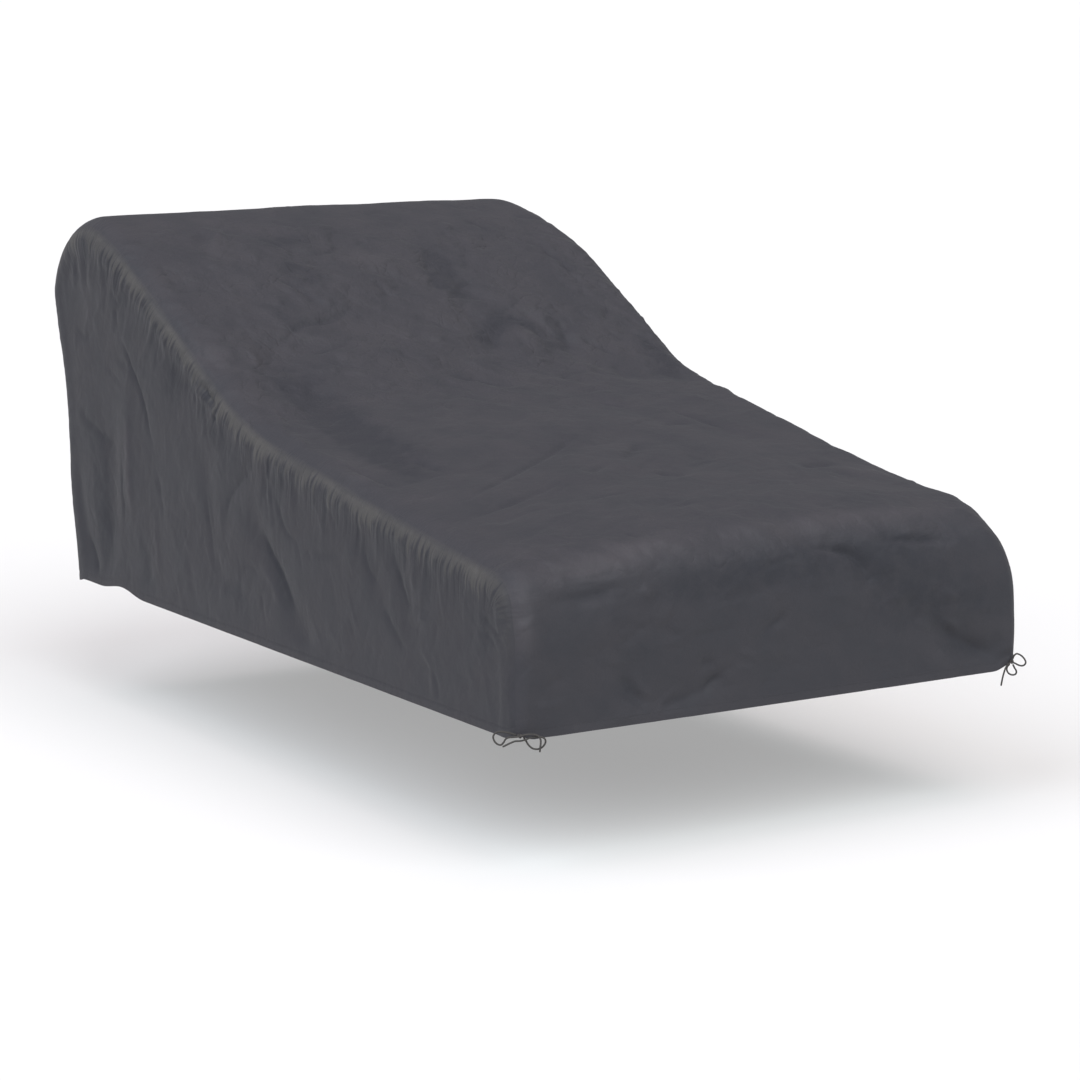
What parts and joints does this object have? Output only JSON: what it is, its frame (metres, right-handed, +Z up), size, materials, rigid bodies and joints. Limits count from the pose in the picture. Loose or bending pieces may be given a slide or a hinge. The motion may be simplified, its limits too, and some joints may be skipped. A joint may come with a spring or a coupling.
{
  "type": "fitted sofa cover",
  "caption": "Fitted grey cloth cover for a long lounge seat with a raised rounded back: hollow, open below, with thin cords tied in bows at its front corners.",
  "frame": {"origin": "the seating point: middle of the width, on the underside of the seat cloth, 0.62 m behind the front face, where the covered seat holds the cloth up", "axes": "+Z up, -Y towards the low front end, +Y towards the raised back, X across the width"},
  "size_m": [0.924, 1.5667, 0.6546],
  "materials": {
    "cloth": "smooth coated weave, low sheen",
    "cord": "matt braid"
  },
  "bodies": {
    "root": {"panel_strip": "cloth", "panel_side_left": "cloth", "panel_side_right": "cloth", "tie_left_knot": "cord", "tie_left_cord_a": "cord", "tie_left_cord_b": "cord", "tie_right_knot": "cord", "tie_right_cord_a": "cord", "tie_right_cord_b": "cord"}
  },
  "joints": []
}
